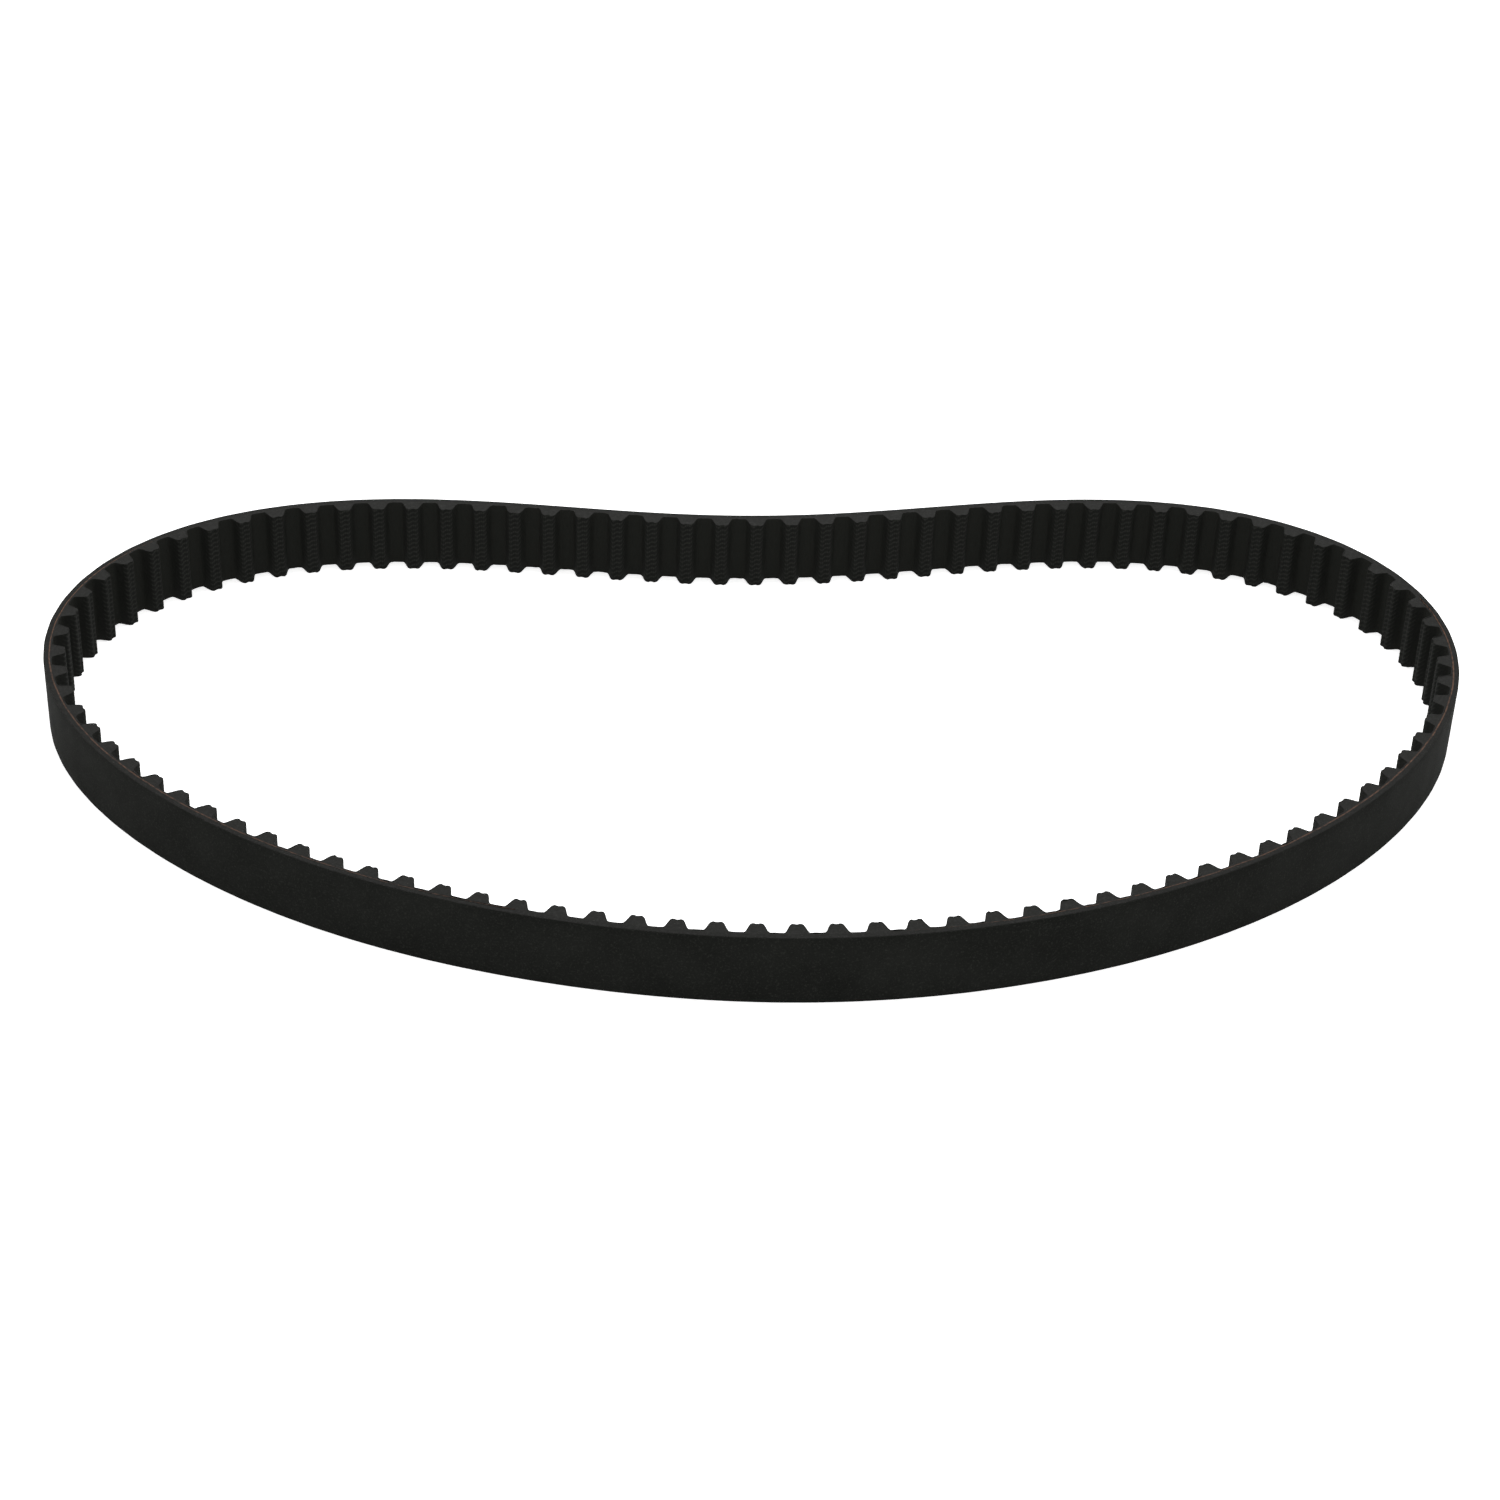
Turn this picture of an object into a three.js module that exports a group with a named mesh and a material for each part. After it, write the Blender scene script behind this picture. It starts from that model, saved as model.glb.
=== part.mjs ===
// Timing belt: an endless toothed rubber belt standing on one edge, in the slack bean shape that it
// takes when no pulleys hold it. The layers are bonded to each other all the way round. From the smooth
// back towards the teeth they are the backing, two helical glass cords side by side, the tooth rubber
// and the woven facing. The origin is in the middle of the loop, on the surface that the belt stands on.
import * as THREE from 'three';

// Belt size, in millimetres. The pitch is measured along the middle of the cords.
const TOOTH_COUNT = 97;
const TOOTH_PITCH = 9.525;
const BELT_WIDTH = 19.5;
const PITCH_LENGTH = TOOTH_COUNT * TOOTH_PITCH;

// Heights through the belt, from the middle of the cords: the teeth are on the positive side.
const BACK_FACE = -1.5;
const LAND_FACE = 0.55;
const TOOTH_HEIGHT = 3.45;
const FACING_THICKNESS = 0.18;
const BOND_GAP = 0.03;

// Half widths of one tooth, from its root up to the two ridges that leave a shallow groove in its crest.
const ROOT_HALF_WIDTH = 3.0;
const FILLET_HALF_WIDTH = 2.62;
const FILLET_HEIGHT = 0.45;
const FLANK_HALF_WIDTH = 2.18;
const FLANK_HEIGHT = 1.7;
const SHOULDER_HALF_WIDTH = 1.68;
const SHOULDER_HEIGHT = 2.98;
const RIDGE_HALF_WIDTH = 1.05;
const CREST_GROOVE_DEPTH = 0.2;

// The rubber core of one tooth, under the facing.
const CORE_ROOT_HALF_WIDTH = 2.65;
const CORE_CREST_HALF_WIDTH = 1.42;
const CORE_CREST_DROP = 0.3;

// The two cords climb the belt's width together, one S-twisted and one Z-twisted. Each is cut through
// by the belt's upper edge round its own place, given in millimetres along the belt.
const CORD_RADIUS = 0.25;
const CORD_SLOT_HALF = 0.26;
const CORD_LEAD = 1.9;
const CORD_SECTION_SIDES = 4;
const CORD_LEAST_CUT = 0.05;
const S_CORD_SURFACES_AT = 731;
const Z_CORD_SURFACES_AT = 133;

// Slack shape. The belt's heading turns evenly once round the loop, and each sway adds waves to that:
// two waves draw the circle out into an oval, three flatten the near side and dent the far one, and the
// rest are the set that the rubber keeps from its packing. The amplitudes are in radians.
const START_HEADING = 0.119;
const SWAYS = [
  { waves: 2, cosine: -0.054, sine: -0.477 },
  { waves: 3, cosine: 0.016, sine: 0.185 },
  { waves: 4, cosine: 0, sine: 0.008 },
  { waves: 5, cosine: 0.001, sine: -0.017 },
  { waves: 6, cosine: -0.007, sine: -0.01 },
  { waves: 7, cosine: 0.004, sine: 0.014 },
];
const STEPS_PER_PITCH = 20;
const CLOSING_ROUNDS = 60;

// The belt bends at the middle of a tooth gap: at every gap on the tight ends, and at every second one
// where two pitches together turn by less than this.
const GENTLE_TURN = THREE.MathUtils.degToRad(5.8);

// Heading of the belt after a part of its length, where the full length is 1.
function headingAt(part, closingSway) {
  const angle = 2 * Math.PI * part;
  let heading = START_HEADING + angle;
  for (const { waves, cosine, sine } of [closingSway, ...SWAYS]) {
    heading += cosine * Math.cos(waves * angle) + sine * Math.sin(waves * angle);
  }
  return heading;
}

// Follows the heading round the loop, and gives the middle of every tooth gap and how far the end
// misses the start.
function traceLoop(closingSway) {
  const steps = TOOTH_COUNT * STEPS_PER_PITCH;
  const stepLength = PITCH_LENGTH / steps;
  const place = new THREE.Vector2();
  const gaps = [];
  for (let step = 0; step < steps; step += 1) {
    if (step % STEPS_PER_PITCH === 0) {
      gaps.push({ place: place.clone(), heading: headingAt(step / steps, closingSway) });
    }
    const heading = headingAt((step + 0.5) / steps, closingSway);
    place.x += stepLength * Math.cos(heading);
    place.y += stepLength * Math.sin(heading);
  }
  return { gaps, miss: place };
}

// A sway of one wave closes the loop: its two amplitudes are corrected until the end meets the start.
function closedLoop() {
  const closingSway = { waves: 1, cosine: 0, sine: 0 };
  for (let round = 0; round < CLOSING_ROUNDS; round += 1) {
    const { miss } = traceLoop(closingSway);
    closingSway.sine += miss.x / PITCH_LENGTH;
    closingSway.cosine -= miss.y / PITCH_LENGTH;
  }
  return traceLoop(closingSway).gaps;
}

// Turns the gaps into stations, the places where the belt bends. Each has its distance along the belt,
// in pitches, its place, its heading and its inward normal.
function stationsOf(gaps) {
  const stations = [];
  let index = 0;
  while (index < TOOTH_COUNT) {
    const { place, heading } = gaps[index];
    const inward = new THREE.Vector2(-Math.sin(heading), Math.cos(heading));
    stations.push({ pitches: index, place, heading, inward });
    const afterTwo = gaps[index + 2];
    const gentle = afterTwo && Math.abs(afterTwo.heading - heading) < GENTLE_TURN;
    index += gentle ? 2 : 1;
  }
  return stations;
}

// Moves the stations so that the middle of the belt's outline is at the origin.
function centre(stations) {
  const outline = stations.map((station) => offsetPoint(station, BACK_FACE));
  const middle = new THREE.Box2().setFromPoints(outline).getCenter(new THREE.Vector2());
  stations.forEach((station) => station.place.sub(middle));
}

function offsetPoint(station, height) {
  return station.place.clone().addScaledVector(station.inward, height);
}

// A point at a distance along the belt, in pitches, and a height through it. Between two stations it is
// on the straight line from one to the other, so that every layer keeps clear of the next.
function beltPoint(stations, pitches, height) {
  const before = stations.findLastIndex((station) => station.pitches <= pitches);
  const after = (before + 1) % stations.length;
  const start = stations[before].pitches;
  const end = after === 0 ? TOOTH_COUNT : stations[after].pitches;
  const from = offsetPoint(stations[before], height);
  return from.lerp(offsetPoint(stations[after], height), (pitches - start) / (end - start));
}

// A smooth outline parallel to the cords.
function smoothOutline(stations, height) {
  return stations.map((station) => offsetPoint(station, height));
}

// A toothed outline: the profile's points, as distances from the tooth's middle and heights, are
// repeated on every tooth, and the land bends at each station between the teeth.
function toothedOutline(stations, profile, landHeight) {
  const outline = [];
  for (let tooth = 0; tooth < TOOTH_COUNT; tooth += 1) {
    const bend = stations.find((station) => station.pitches === tooth);
    if (bend) {
      outline.push(offsetPoint(bend, landHeight));
    }
    for (const [distance, height] of profile) {
      const pitches = tooth + 0.5 + distance / TOOTH_PITCH;
      outline.push(beltPoint(stations, pitches, height));
    }
  }
  return outline;
}

// One half of a tooth and its mirror image, with the points in the middle once.
function mirroredProfile(half) {
  const rising = half.map(([distance, height]) => [-distance, height]);
  const falling = half.filter(([distance]) => distance > 0).reverse();
  return [...rising, ...falling];
}

function facingProfile() {
  const crest = LAND_FACE + TOOTH_HEIGHT;
  return mirroredProfile([
    [ROOT_HALF_WIDTH, LAND_FACE],
    [FILLET_HALF_WIDTH, LAND_FACE + FILLET_HEIGHT],
    [FLANK_HALF_WIDTH, LAND_FACE + FLANK_HEIGHT],
    [SHOULDER_HALF_WIDTH, LAND_FACE + SHOULDER_HEIGHT],
    [RIDGE_HALF_WIDTH, crest],
    [0, crest - CREST_GROOVE_DEPTH],
  ]);
}

// The line between the facing and the rubber, moved towards the rubber by the given gap.
function bondProfile(gap) {
  const land = LAND_FACE - FACING_THICKNESS;
  const crest = LAND_FACE + TOOTH_HEIGHT - CREST_GROOVE_DEPTH - CORE_CREST_DROP;
  return mirroredProfile([
    [CORE_ROOT_HALF_WIDTH - gap, land - gap],
    [CORE_CREST_HALF_WIDTH - gap, crest - gap],
  ]);
}

// A band of the belt between two outlines, over its full width.
function band(outside, inside) {
  const shape = new THREE.Shape(outside);
  shape.holes.push(new THREE.Path(inside));
  return new THREE.ExtrudeGeometry(shape, { depth: BELT_WIDTH, bevelEnabled: false });
}

function backingGeometry(stations) {
  const back = smoothOutline(stations, BACK_FACE);
  return band(back, smoothOutline(stations, -CORD_SLOT_HALF));
}

function toothRubberGeometry(stations) {
  const cordSide = smoothOutline(stations, CORD_SLOT_HALF);
  const land = LAND_FACE - FACING_THICKNESS - BOND_GAP;
  return band(cordSide, toothedOutline(stations, bondProfile(BOND_GAP), land));
}

function toothFacingGeometry(stations) {
  const rubberSide = toothedOutline(stations, bondProfile(0), LAND_FACE - FACING_THICKNESS);
  return band(rubberSide, toothedOutline(stations, facingProfile(), LAND_FACE));
}

// The middle line of one cord: a helix that follows the belt and climbs by its lead on every turn. It
// bends at the same stations as the belt, so its points are those and nothing between.
class CordPath extends THREE.Curve {
  constructor(stations, surfacesAt) {
    super();
    this.bends = [];
    const reach = CORD_RADIUS * Math.SQRT1_2 - CORD_LEAST_CUT;
    const turns = Math.ceil(BELT_WIDTH / CORD_LEAD) + 1;
    for (let turn = -turns; turn <= 1; turn += 1) {
      for (const { pitches, place, heading } of stations) {
        const distance = (turn * TOOTH_COUNT + pitches) * TOOTH_PITCH - surfacesAt;
        const height = BELT_WIDTH + (distance / PITCH_LENGTH) * CORD_LEAD;
        if (height > -reach && height < BELT_WIDTH + reach) {
          this.bends.push({ point: new THREE.Vector3(place.x, place.y, height), heading });
        }
      }
    }
  }

  bendAt(part) {
    return this.bends[Math.round(part * (this.bends.length - 1))];
  }

  getPoint(part) {
    return this.bendAt(part).point.clone();
  }

  getPointAt(part) {
    return this.getPoint(part);
  }

  getTangentAt(part) {
    const { heading } = this.bendAt(part);
    return new THREE.Vector3(Math.cos(heading), Math.sin(heading), 0);
  }
}

// One cord, with what would stand out of the belt's two edges cut off level with them. A full arc is
// drawn with two sides for each of its curve segments.
function cordGeometry(stations, surfacesAt) {
  const path = new CordPath(stations, surfacesAt);
  const corner = Math.PI / CORD_SECTION_SIDES;
  const section = new THREE.Shape().absarc(0, 0, CORD_RADIUS, corner, corner + 2 * Math.PI);
  const geometry = new THREE.ExtrudeGeometry(section, {
    steps: path.bends.length - 1,
    curveSegments: CORD_SECTION_SIDES / 2,
    extrudePath: path,
  });
  const corners = geometry.getAttribute('position');
  for (let index = 0; index < corners.count; index += 1) {
    corners.setZ(index, THREE.MathUtils.clamp(corners.getZ(index), 0, BELT_WIDTH));
  }
  return geometry;
}

function material(color, roughness) {
  return new THREE.MeshStandardMaterial({ color, roughness, metalness: 0 });
}

const stations = stationsOf(closedLoop());
centre(stations);

const subParts = [
  ['backing', backingGeometry(stations), material(0x1d1e1d, 0.72)],
  ['tooth_rubber', toothRubberGeometry(stations), material(0x2b2b2a, 0.8)],
  ['tooth_facing', toothFacingGeometry(stations), material(0x171817, 0.85)],
  ['tensile_cord_s', cordGeometry(stations, S_CORD_SURFACES_AT), material(0x6b4a38, 0.8)],
  ['tensile_cord_z', cordGeometry(stations, Z_CORD_SURFACES_AT), material(0x6b4a38, 0.8)],
];

const belt = new THREE.Group();
for (const [name, geometry, finish] of subParts) {
  const mesh = new THREE.Mesh(geometry, finish);
  mesh.name = name;
  belt.add(mesh);
}

export default belt;
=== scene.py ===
"""Timing belt: the visible surfaces of an endless toothed rubber belt, standing on one edge.

The belt is a ground rubber backing, two twisted glass cords, moulded tooth rubber and a woven nylon
facing. Every piece is a profile carried along the same closed plan curve as the CAD layers.
Lengths are in millimetres up to the point where a mesh is made, which is in metres.
"""
import math

import bmesh
import bpy
import numpy as np
from mathutils import Matrix, Vector


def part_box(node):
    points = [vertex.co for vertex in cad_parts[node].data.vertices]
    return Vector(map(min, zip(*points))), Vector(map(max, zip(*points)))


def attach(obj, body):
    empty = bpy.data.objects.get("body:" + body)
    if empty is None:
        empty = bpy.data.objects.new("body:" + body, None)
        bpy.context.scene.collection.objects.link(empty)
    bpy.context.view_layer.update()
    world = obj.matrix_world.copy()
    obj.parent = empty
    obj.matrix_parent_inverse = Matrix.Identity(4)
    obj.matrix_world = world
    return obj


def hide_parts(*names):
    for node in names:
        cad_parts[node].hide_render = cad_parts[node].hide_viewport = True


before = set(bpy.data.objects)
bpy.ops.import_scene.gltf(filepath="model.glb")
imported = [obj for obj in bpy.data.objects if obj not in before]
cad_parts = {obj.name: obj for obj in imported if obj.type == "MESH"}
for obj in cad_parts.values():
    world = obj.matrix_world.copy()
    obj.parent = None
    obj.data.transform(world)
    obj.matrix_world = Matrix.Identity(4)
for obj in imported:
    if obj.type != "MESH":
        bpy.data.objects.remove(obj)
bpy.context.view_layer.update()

MM = 0.001

# Belt size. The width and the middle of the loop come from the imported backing.
TOOTH_COUNT = 97
TOOTH_PITCH = 9.525
PITCH_LENGTH = TOOTH_COUNT * TOOTH_PITCH
BACKING_LOW, BACKING_HIGH = (np.array(corner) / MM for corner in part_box("backing"))
BELT_WIDTH = BACKING_HIGH[2] - BACKING_LOW[2]
LOOP_MIDDLE = (BACKING_LOW[:2] + BACKING_HIGH[:2]) / 2

# Heights through the belt from the middle of the cords, with the teeth on the positive side.
BACK_FACE = -1.5
LAND_FACE = 0.55
TOOTH_HEIGHT = 3.45
FACING_THICKNESS = 0.18

# Corners of one half of the moulded tooth, as distances from its middle and heights above the land.
# Cutting them gives the root fillet, the straight flank, the shoulder and the groove in the crest.
# A cut takes this share of both sides of a corner.
CORNER_CUT = 0.25
HALF_TOOTH = [
    (3.4, 0.0),
    (2.76, 0.17),
    (1.8, 2.86),
    (1.3, 3.41),
    (0.8, 3.52),
    (0.3, 3.27),
]
RIDGE_UNEVENNESS = 0.05

# Radii of the rounded upper corners, and the number of points on each quarter circle.
BACK_ROUND = 0.12
FACING_ROUND = 0.06
ROUND_POINTS = 4

# The facing's ribs run along the belt, one above the other across it, and stand out on the crests.
RIBS_ACROSS = 14.5
RIB_PITCH = BELT_WIDTH / RIBS_ACROSS
RIB_RELIEF = 0.022
RIBS_START_AT = 1.6

# What the slitting knife leaves at the facing's edges: threads that stand up, and rubber pushed
# aside.
FRAY_HEIGHT = 0.3
BURR_REACH = 0.25
FRAY_SPACING = 0.6
FRAY_PATCH_SPACING = 5.0

# Slack shape, the same sways of the belt's heading as in the CAD part, in radians.
START_HEADING = 0.119
SWAYS = [
    (2, -0.054, -0.477),
    (3, 0.016, 0.185),
    (4, 0.0, 0.008),
    (5, 0.001, -0.017),
    (6, -0.007, -0.01),
    (7, 0.004, 0.014),
]
STEPS_PER_PITCH = 40
BACKING_STEPS_PER_PITCH = 16
CLOSING_ROUNDS = 60
BENDING_IN_LANDS = 0.85
SHARP_DEGREES = 50

# The two cords climb side by side, by their lead on every turn. The upper edge of the belt cuts
# each of them at its own place along the belt, and for its reach before and after that place.
CORD_RADIUS = 0.25
CORD_LEAD = 1.9
CORD_REACH = CORD_RADIUS / CORD_LEAD * PITCH_LENGTH
CORD_SIDES = 14
CORD_CUT_STEP = 0.4
CORD_STEPS_PER_PITCH = 4
CORD_STRANDS = 5
CORD_TWIST_LENGTH = 10.0
STRAND_RELIEF = 0.05
CORD_WANDER = 0.07
CORD_WANDER_SPACING = 4.0
CORD_PROUD = 0.02
CORD_SIDE_SMEAR = 0.6
S_CORD_SURFACES_AT = 731
Z_CORD_SURFACES_AT = 133

# Seeds, one for each thing that is uneven.
RIDGE_SEED = 11
THREAD_SEED = 23
PATCH_SEED = 29
CRUMB_SEED = 31
WANDER_SEED = 41

# Sizes of the marks in the materials. The grinding grit leaves marks of 0.1 to 0.2 mm and a nylon
# thread is 0.25 mm thick, and both are drawn larger so that they show.
GRIT_SIZE = 0.5
TALC_CLOUD_SIZE = 16
RUB_SIZE = 40
TORN_CRUMB_SIZE = 0.6
THREAD_SIZE = 0.6
FUZZ_SIZE = 0.35
SMEAR_SIZE = 1.6
FLOAT_SLANT = math.radians(18)

# A Wave node repeats every 2 pi / 20 units of its scale.
WAVE_REPEAT = 2 * math.pi / 20

# A Mix node has several sockets of one name, so the ones for colours are found by number. So are
# the sockets of a Math node, which are all called Value: 0 and 1 are its terms, and 2 is added.
MIX_AMOUNT, MIX_FROM, MIX_TO = 0, 6, 7
MIX_RESULT = 2

# Studio: a sheet of paper lit by the world and by soft boxes that all face the same point. Each box
# has a name, a place and a size in metres, and a power in watts.
FLOOR_REACH = 12.0
PAPER_GLOW = 0.7
WORLD_STRENGTH = 0.5
LIGHTS_FACE = Vector((0, 0, 0))
SOFT_BOXES = [
    ("overhead", (0.0, 0.25, 1.6), (1.6, 1.2), 12),
    ("behind", (0.0, 1.7, 1.15), (1.8, 0.6), 17),
    ("left_side", (-1.3, 0.1, 0.55), (0.5, 0.8), 0.5),
    ("right_side", (1.3, 0.1, 0.55), (0.5, 0.8), 0.6),
]

# Camera: a long lens some way above the belt.
CAMERA_TARGET = Vector((-0.68, 1.09, 0)) * MM
CAMERA_ELEVATION = math.radians(35.735)
CAMERA_ROLL = math.radians(2.24)
CAMERA_DISTANCE = 0.9062
CAMERA_LENS = 83.57
CAMERA_SENSOR_WIDTH = 36.0


# ---- The plan curve ----

def heading_at(part, closing):
    """One even turn plus the sways: start + 2 pi p + sum of c cos(2 pi k p) + s sin(2 pi k p)."""
    angle = 2 * np.pi * part
    heading = START_HEADING + angle
    for waves, cosine, sine in [(1, *closing), *SWAYS]:
        heading = heading + cosine * np.cos(waves * angle) + sine * np.sin(waves * angle)
    return heading


def eased(pitches):
    """Distance along the belt, hurried at the lands and held back on the teeth, where it is
    stiff."""
    return pitches + BENDING_IN_LANDS * np.sin(2 * np.pi * pitches) / (2 * np.pi)


def trace_loop():
    """The middle line of the cords: the running sum of steps along the heading, closed by a sway of
    one wave, and moved so that the back face's outline has its middle on the CAD backing's."""
    steps = TOOTH_COUNT * STEPS_PER_PITCH
    between = eased((np.arange(steps) + 0.5) / STEPS_PER_PITCH) / TOOTH_COUNT
    closing = np.zeros(2)
    for _ in range(CLOSING_ROUNDS):
        heading = heading_at(between, closing)
        closing += [-np.sin(heading).mean(), np.cos(heading).mean()]
    step = PITCH_LENGTH / steps
    run = step * np.cumsum(np.stack([np.cos(heading), np.sin(heading)], axis=1), axis=0)
    places = np.vstack([np.zeros(2), run[:-1]])
    pitches = np.arange(steps) / STEPS_PER_PITCH
    heading = heading_at(eased(pitches) / TOOTH_COUNT, closing)
    inward = np.stack([-np.sin(heading), np.cos(heading)], axis=1)
    outline = places + BACK_FACE * inward
    places += LOOP_MIDDLE - (outline.min(axis=0) + outline.max(axis=0)) / 2
    return pitches, places, inward


LOOP_PITCHES, LOOP_PLACES, LOOP_INWARD = trace_loop()


def on_belt(pitches, height, level):
    """Points at a distance along the belt in pitches, a height through it and a level across it."""
    def looked_up(values):
        return np.interp(pitches, LOOP_PITCHES, values, period=TOOTH_COUNT)
    x = looked_up(LOOP_PLACES[:, 0]) + height * looked_up(LOOP_INWARD[:, 0])
    y = looked_up(LOOP_PLACES[:, 1]) + height * looked_up(LOOP_INWARD[:, 1])
    return np.stack([x, y, np.broadcast_to(level, x.shape)], axis=-1)


def smooth_random(seed, pitches, spacing):
    """Random values from -1 to 1 at even places round the loop, joined by straight lines."""
    count = round(PITCH_LENGTH / spacing)
    values = np.random.default_rng(seed).uniform(-1, 1, count)
    places = np.arange(count) * TOOTH_COUNT / count
    return np.interp(pitches, places, values, period=TOOTH_COUNT)


# ---- Tooth outline ----

def toothed_outline():
    """The corners of one tooth and its mirror image on every pitch, as places along the belt and
    heights. The two ridges of each crest differ a little in height. Then every corner is replaced
    by two points, one on each of its sides."""
    half = np.array(HALF_TOOTH)
    whole = np.vstack([half * [-1, 1], half[::-1]])
    corners = np.repeat(whole[None], TOOTH_COUNT, axis=0)
    ridges = np.flatnonzero(whole[:, 1] > TOOTH_HEIGHT)
    uneven = np.random.default_rng(RIDGE_SEED).uniform(-1, 1, (TOOTH_COUNT, len(ridges)))
    corners[:, ridges, 1] += RIDGE_UNEVENNESS * uneven
    corners[:, :, 0] += TOOTH_PITCH * (np.arange(TOOTH_COUNT)[:, None] + 0.5)
    corners = corners.reshape(-1, 2)
    ahead = np.roll(corners, -1, axis=0)
    ahead[-1, 0] += PITCH_LENGTH
    keep = 1 - CORNER_CUT
    after_corner = keep * corners + CORNER_CUT * ahead
    before_next = CORNER_CUT * corners + keep * ahead
    cut = np.stack([after_corner, before_next], axis=1)
    cut = cut.reshape(-1, 2)
    return cut[:, 0], LAND_FACE + cut[:, 1]


def under_facing(along, height):
    """The toothed outline moved down square to itself by the facing's thickness."""
    run = np.roll(along, -1) - np.roll(along, 1)
    run[[0, -1]] += PITCH_LENGTH
    rise = np.roll(height, -1) - np.roll(height, 1)
    length = np.hypot(run, rise)
    return (along + FACING_THICKNESS * rise / length, height - FACING_THICKNESS * run / length)


# ---- Meshes ----

def new_piece(name, points, faces, materials, face_materials, uv, values_name, values):
    """A mesh object that stands for the CAD node of its name, with points in millimetres. Its faces
    are turned so that its volume, the sum of the cones from the origin to them, is positive."""
    corners = points[faces]
    cones = np.einsum("ij,ij->i", corners[:, 0], np.cross(corners[:, 1], corners[:, 2]))
    cones += np.einsum("ij,ij->i", corners[:, 0], np.cross(corners[:, 2], corners[:, 3]))
    if cones.sum() < 0:
        faces = faces[:, ::-1]
        uv = uv[:, ::-1]
    mesh = bpy.data.meshes.new(name)
    mesh.from_pydata((points * MM).tolist(), [], faces.tolist())
    for finish in materials:
        mesh.materials.append(finish)
    mesh.polygons.foreach_set("material_index", face_materials.astype(np.int32))
    mesh.polygons.foreach_set("use_smooth", np.ones(len(faces), dtype=bool))
    layer = mesh.uv_layers.new(name="belt_mm")
    layer.uv.foreach_set("vector", uv.astype(np.float32).ravel())
    attribute = mesh.attributes.new(values_name, "FLOAT", "POINT")
    attribute.data.foreach_set("value", values.astype(np.float32).ravel())
    mesh.set_sharp_from_angle(angle=math.radians(SHARP_DEGREES))
    mesh.update()
    piece = bpy.data.objects.new(name, mesh)
    bpy.context.scene.collection.objects.link(piece)
    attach(piece, "root")
    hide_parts(name)
    return piece


def grid_faces(rows, columns, close_rows):
    """Quads of a grid whose columns close on themselves, and whose rows do too if asked."""
    row = np.arange(rows if close_rows else rows - 1)[:, None]
    column = np.arange(columns)[None, :]
    next_row = (row + 1) % rows
    next_column = (column + 1) % columns
    corners = [row * columns + column, next_row * columns + column,
               next_row * columns + next_column, row * columns + next_column]
    return np.stack(corners, axis=-1).reshape(-1, 4)


def grid_uv(u, v):
    """UV corners for grid_faces, from one more row and one more column than the grid has."""
    uv = np.stack([u, v], axis=-1)
    corners = [uv[:-1, :-1], uv[1:, :-1], uv[1:, 1:], uv[:-1, 1:]]
    return np.stack(corners, axis=2).reshape(-1, 4, 2)


def quarter_round(radius, start_degrees):
    """Offsets of a quarter circle of points from its corner's centre, turning clockwise. A sharp
    corner is one point."""
    points = ROUND_POINTS if radius > 0 else 1
    angle = np.radians(start_degrees - np.linspace(0, 90, points))
    return radius * np.stack([np.cos(angle), np.sin(angle)], axis=1)


def band_section(thickness, back_round, tooth_round, cap_rows, back_rows, tooth_rows):
    """The outline of a band cut across: up the side towards the back, over the upper edge, down the
    side towards the teeth and back under it. Depths run from 0 at the back side to the thickness,
    and only the upper corners are rounded. The last values say which rows start a face of a cut
    edge."""
    top = BELT_WIDTH
    up = np.linspace(0, 1, back_rows)[1:-1]
    down = np.linspace(1, 0, tooth_rows)[1:-1]
    cap = np.linspace(0, 1, cap_rows)[1:-1]
    back_wall = np.stack([up * 0, up * (top - back_round)], axis=1)
    tooth_wall = np.stack([down * 0 + thickness, down * (top - tooth_round)], axis=1)
    upper_depth = back_round + cap * (thickness - back_round - tooth_round)
    upper = np.stack([upper_depth, cap * 0 + top], axis=1)
    lower = np.stack([thickness * cap[::-1], cap * 0], axis=1)
    parts = [
        (back_wall, 0),
        (quarter_round(back_round, 180) + [back_round, top - back_round], 1),
        (upper, 1),
        (quarter_round(tooth_round, 90) + [thickness - tooth_round, top - tooth_round], 1),
        (tooth_wall, 0),
        (np.array([[thickness, 0.0]]), 1),
        (lower, 1),
        (np.array([[0.0, 0.0]]), 1),
    ]
    rows = np.vstack([points for points, _ in parts])
    is_cut = np.concatenate([np.full(len(points), cut) for points, cut in parts])
    wall_starts = np.flatnonzero(np.diff(is_cut) < 0)
    is_cut[wall_starts] = 0
    is_cut[-1] = 0
    return rows[:, 0] / thickness, rows[:, 1], is_cut


def frayed(along, height, level, mix):
    """Moves the edge rows of the facing by uneven amounts, in patches: threads stand up from the
    upper edge, the lower edge is nicked, and the rubber at both is pushed out over the lands."""
    pitches = along / TOOTH_PITCH
    in_patches = smooth_random(PATCH_SEED, pitches, FRAY_PATCH_SPACING)
    threads = np.abs(smooth_random(THREAD_SEED, pitches, FRAY_SPACING) * in_patches)
    crumbs = np.abs(smooth_random(CRUMB_SEED, pitches, FRAY_SPACING) * in_patches)
    nearest_edge = np.minimum(level, BELT_WIDTH - level)
    at_edge = np.clip(1 - nearest_edge / FRAY_SPACING, 0, 1)
    on_land = np.clip(1 - (height - LAND_FACE) / RIBS_START_AT, 0, 1)
    pushed_out = height + BURR_REACH * crumbs * at_edge * on_land * mix
    raised = level + FRAY_HEIGHT * threads * at_edge
    return pushed_out, raised


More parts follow.
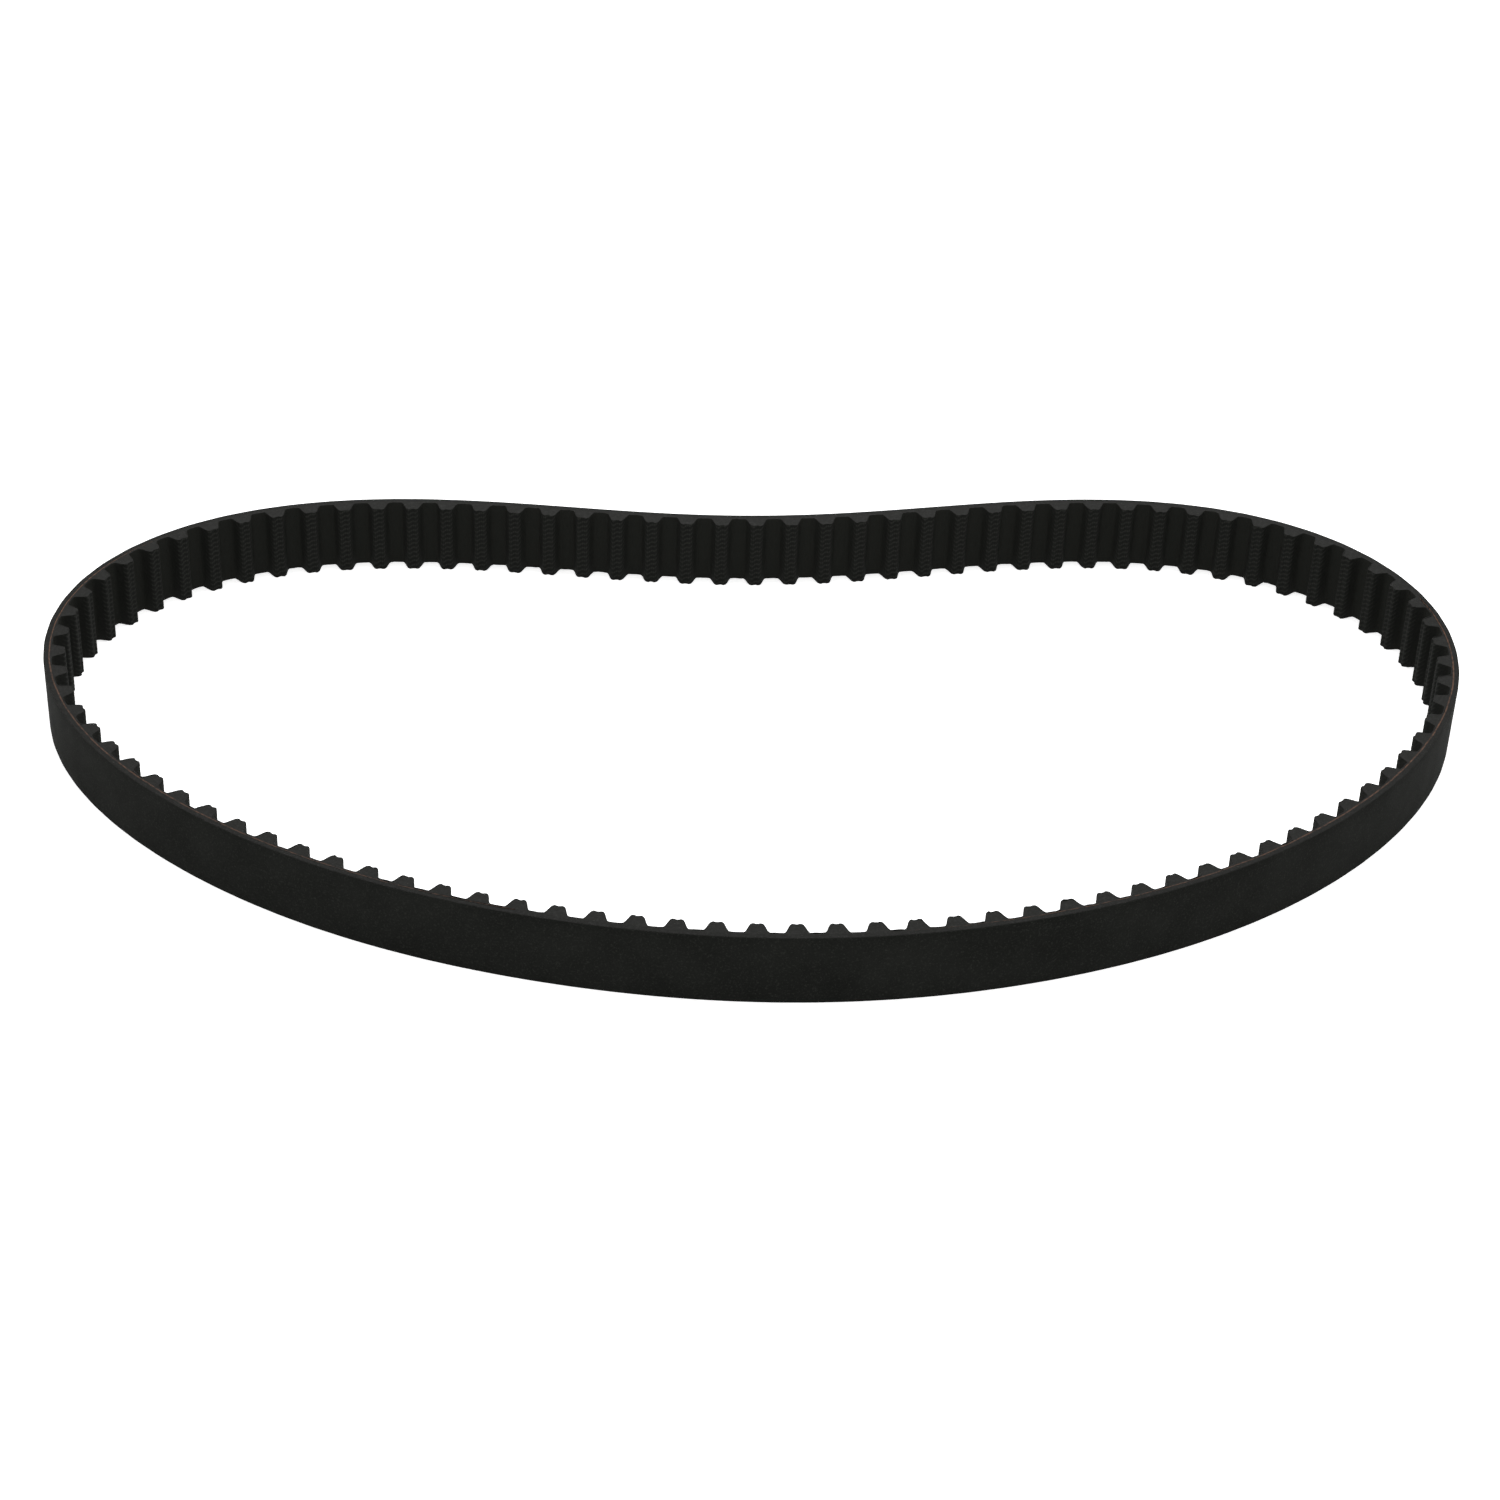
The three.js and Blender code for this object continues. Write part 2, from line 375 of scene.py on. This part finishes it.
def ribbed(height, level, mix):
    """Raises the outer side of the facing into ribs across the crests: a cosine of the level, which
    grows with the height above the lands."""
    bare = np.clip((height - LAND_FACE - RIBS_START_AT) / (TOOTH_HEIGHT - RIBS_START_AT), 0, 1)
    return height + RIB_RELIEF * bare * mix * np.cos(2 * np.pi * level / RIB_PITCH)


def band(name, back_side, tooth_side, section, materials, is_cloth=False):
    """A closed band: every row of the section is a mix of the two outlines at its own level."""
    mix, level, is_cut = section
    along = back_side[0][:, None] * (1 - mix) + tooth_side[0][:, None] * mix
    height = back_side[1][:, None] * (1 - mix) + tooth_side[1][:, None] * mix
    crest = np.clip((height - LAND_FACE) / TOOTH_HEIGHT, 0, 1)
    moved = height
    levels = np.broadcast_to(level, height.shape)
    if is_cloth:
        moved, levels = frayed(along, ribbed(height, level, mix), levels, mix)
    points = on_belt(along / TOOTH_PITCH, moved, levels)
    run = np.vstack([along, along[:1] + PITCH_LENGTH])
    across = np.vstack([level + height, (level + height)[:1]])
    uv = grid_uv(np.hstack([run, run[:, :1]]), np.hstack([across, across[:, :1]]))
    faces = grid_faces(*along.shape, close_rows=True)
    face_materials = np.tile(is_cut, len(along))
    return new_piece(name, points.reshape(-1, 3), faces, materials, face_materials, uv,
                     "crest", crest)


def cord_path(surfaces_at):
    """Distances along one cord, and its levels: it climbs evenly, by its lead on every turn. Its
    points are close together where an edge of the belt cuts it, and far apart inside the belt."""
    start = surfaces_at - BELT_WIDTH / CORD_LEAD * PITCH_LENGTH
    enters, leaves = start + CORD_REACH, surfaces_at - CORD_REACH
    lower_cut = np.arange(start - CORD_REACH, enters, CORD_CUT_STEP)
    hidden = np.arange(enters, leaves, TOOTH_PITCH / CORD_STEPS_PER_PITCH)
    upper_cut = np.arange(leaves, surfaces_at + CORD_REACH, CORD_CUT_STEP)
    along = np.concatenate([lower_cut, hidden, upper_cut])
    return along, BELT_WIDTH + (along - surfaces_at) * CORD_LEAD / PITCH_LENGTH


def cord(name, surfaces_at, twist, finish):
    """A round cord of twisted strands: its radius swells CORD_STRANDS times round and turns with
    the twist, and its middle wanders a little. What would stand out of the belt's edges is cut off
    just above the rubber. The knife left one end of the cut clean and smeared rubber over the other
    end, evenly more along the cut, and over the cord's two sides."""
    along, level = cord_path(surfaces_at)
    angle = np.linspace(0, 2 * np.pi, CORD_SIDES + 1)[None, :]
    turned = angle - twist * 2 * np.pi * along[:, None] / CORD_TWIST_LENGTH
    radius = CORD_RADIUS - STRAND_RELIEF * (0.5 - 0.5 * np.cos(CORD_STRANDS * turned))
    wander = CORD_WANDER * smooth_random(WANDER_SEED, along / TOOTH_PITCH, CORD_WANDER_SPACING)
    height = wander[:, None] + (radius * np.cos(angle))[:, :-1]
    rise = (radius * np.sin(angle))[:, :-1]
    levels = np.clip(level[:, None] + rise, 0.0, BELT_WIDTH + CORD_PROUD)
    pitches = np.broadcast_to(along[:, None] / TOOTH_PITCH, height.shape)
    points = on_belt(pitches, height, levels)
    faces = grid_faces(len(along), CORD_SIDES, close_rows=False)
    run = np.broadcast_to(along[:, None], turned.shape)
    uv = grid_uv(run, np.degrees(turned) / 360)
    face_materials = np.zeros(len(faces))
    smeared_end = np.clip(0.5 + 0.5 * twist * (along - surfaces_at) / CORD_REACH, 0, 1)
    at_sides = CORD_SIDE_SMEAR * np.cos(angle[:, :-1]) ** 2
    smeared = np.clip(smeared_end[:, None] + at_sides, 0, 1)
    piece = new_piece(name, points.reshape(-1, 3), faces, [finish], face_materials,
                      uv, "smeared", smeared)
    close_ends(piece.data, CORD_SIDES)


def close_ends(mesh, sides):
    """Closes a tube's first and last ring with one flat face each, facing out."""
    tube = bmesh.new()
    tube.from_mesh(mesh)
    rims = [edge for edge in tube.edges if edge.is_boundary]
    bmesh.ops.holes_fill(tube, edges=rims, sides=sides)
    bmesh.ops.recalc_face_normals(tube, faces=tube.faces)
    tube.to_mesh(mesh)
    tube.free()


# ---- Materials ----

def linear(hex_colour):
    """An sRGB hex colour as linear red, green, blue and alpha."""
    channels = [int(hex_colour[place:place + 2], 16) / 255 for place in (1, 3, 5)]
    return [c / 12.92 if c <= 0.04045 else ((c + 0.055) / 1.055) ** 2.4 for c in channels] + [1.0]


def add_node(tree, kind, sockets, output, **settings):
    """Adds a node with its settings, sets or links its sockets, and gives one of its outputs."""
    node = tree.nodes.new(kind)
    for name, value in settings.items():
        setattr(node, name, value)
    for name, value in sockets.items():
        if isinstance(value, bpy.types.NodeSocket):
            tree.links.new(value, node.inputs[name])
        else:
            node.inputs[name].default_value = value
    return node.outputs[output]


def new_material(name):
    """An empty material and its node tree."""
    finish = bpy.data.materials.new(name)
    finish.use_nodes = True
    finish.node_tree.nodes.clear()
    return finish, finish.node_tree


def finish_material(tree, colour, roughness, height, depth, constants):
    """Joins colour, roughness and a height map to a Principled shader with its own constants."""
    bump = add_node(tree, "ShaderNodeBump", {"Height": height, "Distance": depth * MM}, "Normal")
    sockets = {"Base Color": colour, "Roughness": roughness, "Normal": bump, **constants}
    shader = add_node(tree, "ShaderNodeBsdfPrincipled", sockets, "BSDF")
    tree.links.new(shader, tree.nodes.new("ShaderNodeOutputMaterial").inputs["Surface"])


def ground_back_rubber():
    """Chloroprene rubber whose back was ground to thickness after curing: matt, with a fine even
    grain, soft clouds where release talc has stayed in it, and pale rubs from handling."""
    finish, tree = new_material("ground_back_rubber")
    place = add_node(tree, "ShaderNodeTexCoord", {}, "Object")
    grit = {"Vector": place, "Scale": 1 / (GRIT_SIZE * MM), "Detail": 2.0, "Roughness": 0.7}
    grain = add_node(tree, "ShaderNodeTexNoise", grit, "Fac")
    talc = {"Vector": place, "Scale": 1 / (TALC_CLOUD_SIZE * MM), "Detail": 3.0, "Roughness": 0.6}
    clouds = add_node(tree, "ShaderNodeTexNoise", talc, "Fac")
    cloudy = {"Value": clouds, "From Min": 0.35, "From Max": 0.65}
    cloud_amount = add_node(tree, "ShaderNodeMapRange", cloudy, "Result")
    base = {MIX_AMOUNT: cloud_amount, MIX_FROM: linear("#131412"), MIX_TO: linear("#191a18")}
    colour = add_node(tree, "ShaderNodeMix", base, MIX_RESULT, data_type="RGBA")
    coarse = {"Value": grain, "From Min": 0.52, "From Max": 0.78, "To Max": 0.7}
    speck_amount = add_node(tree, "ShaderNodeMapRange", coarse, "Result")
    specks = {MIX_AMOUNT: speck_amount, MIX_FROM: colour, MIX_TO: linear("#2f302d")}
    colour = add_node(tree, "ShaderNodeMix", specks, MIX_RESULT, data_type="RGBA")
    rub = {"Vector": place, "Scale": 1 / (RUB_SIZE * MM), "Detail": 4.0, "Roughness": 0.7}
    rubs = add_node(tree, "ShaderNodeTexNoise", rub, "Fac")
    handled = {"Value": rubs, "From Min": 0.55, "From Max": 0.75, "To Max": 0.15}
    rub_amount = add_node(tree, "ShaderNodeMapRange", handled, "Result")
    rubbed = {MIX_AMOUNT: rub_amount, MIX_FROM: colour, MIX_TO: linear("#2e2f2c")}
    colour = add_node(tree, "ShaderNodeMix", rubbed, MIX_RESULT, data_type="RGBA")
    matt = {"Value": grain, "From Min": 0.3, "From Max": 0.7, "To Min": 0.85, "To Max": 1.0}
    roughness = add_node(tree, "ShaderNodeMapRange", matt, "Result")
    finish_material(tree, colour, roughness, grain, 0.07, {"Specular IOR Level": 0.06})
    return finish


def knife_cut_rubber(name, dark, pale):
    """The same rubber where knives parted the belt from its sleeve: greyer, with drag lines that
    run along the belt and torn crumbs."""
    finish, tree = new_material(name)
    place = add_node(tree, "ShaderNodeTexCoord", {}, "Object")
    belt = add_node(tree, "ShaderNodeUVMap", {}, "UV", uv_map="belt_mm")
    # Drag lines 0.3 mm apart and about eight times as long.
    stretch = {"Vector": belt, "Scale": (0.4, 3.3, 1.0)}
    drawn_out = add_node(tree, "ShaderNodeMapping", stretch, "Vector")
    drag = {"Vector": drawn_out, "Scale": 1.0, "Detail": 2.0}
    lines = add_node(tree, "ShaderNodeTexNoise", drag, "Fac")
    torn = {"Vector": place, "Scale": 1 / (TORN_CRUMB_SIZE * MM), "Detail": 3.0, "Roughness": 0.6}
    crumbs = add_node(tree, "ShaderNodeTexNoise", torn, "Fac")
    base = {MIX_AMOUNT: lines, MIX_FROM: linear(dark), MIX_TO: linear(pale)}
    colour = add_node(tree, "ShaderNodeMix", base, MIX_RESULT, data_type="RGBA")
    largest = {"Value": crumbs, "From Min": 0.62, "From Max": 0.8, "To Max": 0.5}
    crumb_amount = add_node(tree, "ShaderNodeMapRange", largest, "Result")
    crumbed = {MIX_AMOUNT: crumb_amount, MIX_FROM: colour, MIX_TO: linear("#5a5a56")}
    colour = add_node(tree, "ShaderNodeMix", crumbed, MIX_RESULT, data_type="RGBA")
    dry = {"Value": crumbs, "From Min": 0.3, "From Max": 0.7, "To Min": 0.6, "To Max": 0.85}
    roughness = add_node(tree, "ShaderNodeMapRange", dry, "Result")
    both = {0: lines, 1: crumbs}
    height = add_node(tree, "ShaderNodeMath", both, "Value", operation="ADD")
    finish_material(tree, colour, roughness, height, 0.04, {"Specular IOR Level": 0.12})
    return finish


def woven_nylon_facing():
    """Stretch nylon twill, soaked in rubber and pressed into the mould: its threads show on the
    crests and shoulders, paler on top partly from wear and partly from a painted highlight, and are
    smothered by rubber on the lands."""
    finish, tree = new_material("woven_nylon_facing")
    belt = add_node(tree, "ShaderNodeUVMap", {}, "UV", uv_map="belt_mm")
    crest = add_node(tree, "ShaderNodeAttribute", {}, "Fac", attribute_name="crest")
    uncovered = {"Value": crest, "From Min": 0.1, "From Max": 0.95, "To Min": 0.15}
    bare = add_node(tree, "ShaderNodeMapRange", uncovered, "Result")
    # The floats lie one rib apart across the belt, and each next one along it starts a little
    # later, so the pattern is slanted.
    turned = {"Vector": belt, "Rotation": (0.0, 0.0, FLOAT_SLANT)}
    slanted = add_node(tree, "ShaderNodeMapping", turned, "Vector")
    floats = {"Vector": slanted, "Scale": WAVE_REPEAT / RIB_PITCH, "Distortion": 0.6, "Detail": 1.0}
    ribs = add_node(tree, "ShaderNodeTexWave", floats, "Fac", bands_direction="Y")
    threads_in = {"Vector": belt, "Scale": WAVE_REPEAT / THREAD_SIZE, "Distortion": 0.4}
    threads = add_node(tree, "ShaderNodeTexWave", threads_in, "Fac", bands_direction="X")
    fluff = {"Vector": belt, "Scale": 1 / FUZZ_SIZE, "Detail": 2.0}
    fuzz = add_node(tree, "ShaderNodeTexNoise", fluff, "Fac")
    weave = add_node(tree, "ShaderNodeMath", {0: ribs, 1: 0.75}, "Value", operation="MULTIPLY")
    crossed = {0: threads, 1: 0.25, 2: weave}
    weave = add_node(tree, "ShaderNodeMath", crossed, "Value", operation="MULTIPLY_ADD")
    relief = add_node(tree, "ShaderNodeMath", {0: weave, 1: bare}, "Value", operation="MULTIPLY")
    # The tops of the thread floats are painted paler. This is partly wear and partly a painted
    # highlight where the floats catch the light.
    topmost = {"Value": relief, "From Min": 0.5, "From Max": 0.95, "To Max": 0.9}
    worn_and_highlit = add_node(tree, "ShaderNodeMapRange", topmost, "Result")
    base = {MIX_AMOUNT: bare, MIX_FROM: linear("#1e1f1c"), MIX_TO: linear("#141513")}
    colour = add_node(tree, "ShaderNodeMix", base, MIX_RESULT, data_type="RGBA")
    worn_and_highlit_over = {MIX_AMOUNT: worn_and_highlit, MIX_FROM: colour, MIX_TO: linear("#262724")}
    colour = add_node(tree, "ShaderNodeMix", worn_and_highlit_over, MIX_RESULT, data_type="RGBA")
    soft = {"Value": fuzz, "From Min": 0.3, "From Max": 0.7, "To Min": 0.7, "To Max": 0.9}
    roughness = add_node(tree, "ShaderNodeMapRange", soft, "Result")
    fuzzy = {0: fuzz, 1: 0.25, 2: relief}
    height = add_node(tree, "ShaderNodeMath", fuzzy, "Value", operation="MULTIPLY_ADD")
    finish_material(tree, colour, roughness, height, 0.04, {"Specular IOR Level": 0.06})
    return finish


def dipped_glass_cord():
    """Glass filaments dipped in brown latex and twisted: dark copper-brown strands, smeared with
    rubber, with paler filaments where the knife opened them."""
    finish, tree = new_material("dipped_glass_cord")
    place = add_node(tree, "ShaderNodeTexCoord", {}, "Object")
    belt = add_node(tree, "ShaderNodeUVMap", {}, "UV", uv_map="belt_mm")
    stretch = {"Vector": belt, "Scale": (0.8, 14.0, 1.0)}
    drawn_out = add_node(tree, "ShaderNodeMapping", stretch, "Vector")
    lie = {"Vector": drawn_out, "Scale": 1.0, "Detail": 2.0}
    filaments = add_node(tree, "ShaderNodeTexNoise", lie, "Fac")
    opened = {"Value": filaments, "From Min": 0.35, "From Max": 0.75}
    cut_open = add_node(tree, "ShaderNodeMapRange", opened, "Result")
    base = {MIX_AMOUNT: cut_open, MIX_FROM: linear("#33231a"), MIX_TO: linear("#85604a")}
    colour = add_node(tree, "ShaderNodeMix", base, MIX_RESULT, data_type="RGBA")
    smear = {"Vector": place, "Scale": 1 / (SMEAR_SIZE * MM), "Detail": 2.0}
    smears = add_node(tree, "ShaderNodeTexNoise", smear, "Fac")
    patchy = {"Value": smears, "From Min": 0.45, "From Max": 0.65, "To Max": 0.5}
    smear_amount = add_node(tree, "ShaderNodeMapRange", patchy, "Result")
    along_cut = add_node(tree, "ShaderNodeAttribute", {}, "Fac", attribute_name="smeared")
    growing = {0: along_cut, 1: 0.7, 2: smear_amount}
    smear_amount = add_node(tree, "ShaderNodeMath", growing, "Value", operation="MULTIPLY_ADD",
                            use_clamp=True)
    smeared = {MIX_AMOUNT: smear_amount, MIX_FROM: colour, MIX_TO: linear("#1d1611")}
    colour = add_node(tree, "ShaderNodeMix", smeared, MIX_RESULT, data_type="RGBA")
    waxy = {"Value": filaments, "From Min": 0.3, "From Max": 0.7, "To Min": 0.45, "To Max": 0.65}
    roughness = add_node(tree, "ShaderNodeMapRange", waxy, "Result")
    finish_material(tree, colour, roughness, filaments, 0.03, {"Specular IOR Level": 0.12})
    return finish


def white_studio_paper():
    """Smooth matt paper. Its faint glow stands for the light of a sweep that is lit from below
    too."""
    finish, tree = new_material("white_studio_paper")
    sockets = {"Base Color": linear("#fbfbfa"), "Roughness": 0.9,
               "Emission Color": linear("#ffffff"), "Emission Strength": PAPER_GLOW}
    shader = add_node(tree, "ShaderNodeBsdfPrincipled", sockets, "BSDF")
    tree.links.new(shader, tree.nodes.new("ShaderNodeOutputMaterial").inputs["Surface"])
    return finish


# ---- The belt ----

def make_belt():
    """The backing, the tooth rubber inside the facing, the facing and the two cords."""
    back_rubber = ground_back_rubber()
    cut_backing = knife_cut_rubber("knife_cut_backing_rubber", "#111210", "#232321")
    cut_rubber = knife_cut_rubber("knife_cut_tooth_rubber", "#141513", "#282826")
    nylon = woven_nylon_facing()
    glass = dipped_glass_cord()

    steps = np.arange(TOOTH_COUNT * BACKING_STEPS_PER_PITCH)
    steps = steps * TOOTH_PITCH / BACKING_STEPS_PER_PITCH
    back_side = (steps, np.full_like(steps, BACK_FACE))
    middle = (steps, np.zeros_like(steps))
    section = band_section(-BACK_FACE, back_round=BACK_ROUND, tooth_round=0, cap_rows=7,
                           back_rows=9, tooth_rows=2)
    band("backing", back_side, middle, section, [back_rubber, cut_backing])

    face = toothed_outline()
    core = under_facing(*face)
    core_middle = (core[0], np.zeros_like(core[0]))
    section = band_section(-BACK_FACE, back_round=0, tooth_round=0, cap_rows=8, back_rows=2,
                           tooth_rows=3)
    band("tooth_rubber", core_middle, core, section, [cut_rubber, cut_rubber])

    rib_rows = round(2 * RIBS_ACROSS) + 1
    section = band_section(FACING_THICKNESS, back_round=0, tooth_round=FACING_ROUND, cap_rows=3,
                           back_rows=2, tooth_rows=rib_rows)
    band("tooth_facing", core, face, section, [nylon, cut_rubber], is_cloth=True)

    cord("tensile_cord_s", S_CORD_SURFACES_AT, 1, glass)
    cord("tensile_cord_z", Z_CORD_SURFACES_AT, -1, glass)


# ---- Floor, light and camera ----

def make_floor():
    """A flat sheet of paper that reaches far past the belt."""
    far = FLOOR_REACH
    corners = [(-far, -far, 0), (far, -far, 0), (far, far, 0), (-far, far, 0)]
    mesh = bpy.data.meshes.new("floor")
    mesh.from_pydata(corners, [], [(0, 1, 2, 3)])
    mesh.materials.append(white_studio_paper())
    floor = bpy.data.objects.new("floor", mesh)
    bpy.context.scene.collection.objects.link(floor)


def soft_box(name, place, size, power):
    """A rectangular area light."""
    light = bpy.data.lights.new(name, "AREA")
    light.shape = "RECTANGLE"
    light.size, light.size_y = size
    light.energy = power
    lamp = bpy.data.objects.new(name, light)
    lamp.location = place
    lamp.rotation_euler = (LIGHTS_FACE - Vector(place)).to_track_quat("-Z", "Y").to_euler()
    bpy.context.scene.collection.objects.link(lamp)


def make_light():
    """Even light from all round, and the soft boxes."""
    world = bpy.data.worlds.new("studio")
    world.use_nodes = True
    background = world.node_tree.nodes["Background"]
    background.inputs["Color"].default_value = (1.0, 1.0, 1.0, 1.0)
    background.inputs["Strength"].default_value = WORLD_STRENGTH
    bpy.context.scene.world = world
    for name, place, size, power in SOFT_BOXES:
        soft_box(name, place, size, power)
    bpy.context.scene.view_settings.view_transform = "Standard"


def make_camera():
    """The camera looks at its target from its elevation, and is rolled a little about that line."""
    away = Vector((0, -math.cos(CAMERA_ELEVATION), math.sin(CAMERA_ELEVATION)))
    right = Vector((1, 0, 0))
    up = away.cross(right)
    rolled_right = math.cos(CAMERA_ROLL) * right + math.sin(CAMERA_ROLL) * up
    rolled_up = away.cross(rolled_right)
    turn = Matrix((rolled_right, rolled_up, away)).transposed().to_4x4()
    data = bpy.data.cameras.new("camera")
    data.lens = CAMERA_LENS
    data.sensor_width = CAMERA_SENSOR_WIDTH
    camera = bpy.data.objects.new("camera", data)
    camera.matrix_world = Matrix.Translation(CAMERA_TARGET + CAMERA_DISTANCE * away) @ turn
    bpy.context.scene.collection.objects.link(camera)
    bpy.context.scene.camera = camera


make_camera()
make_belt()
make_floor()
make_light()
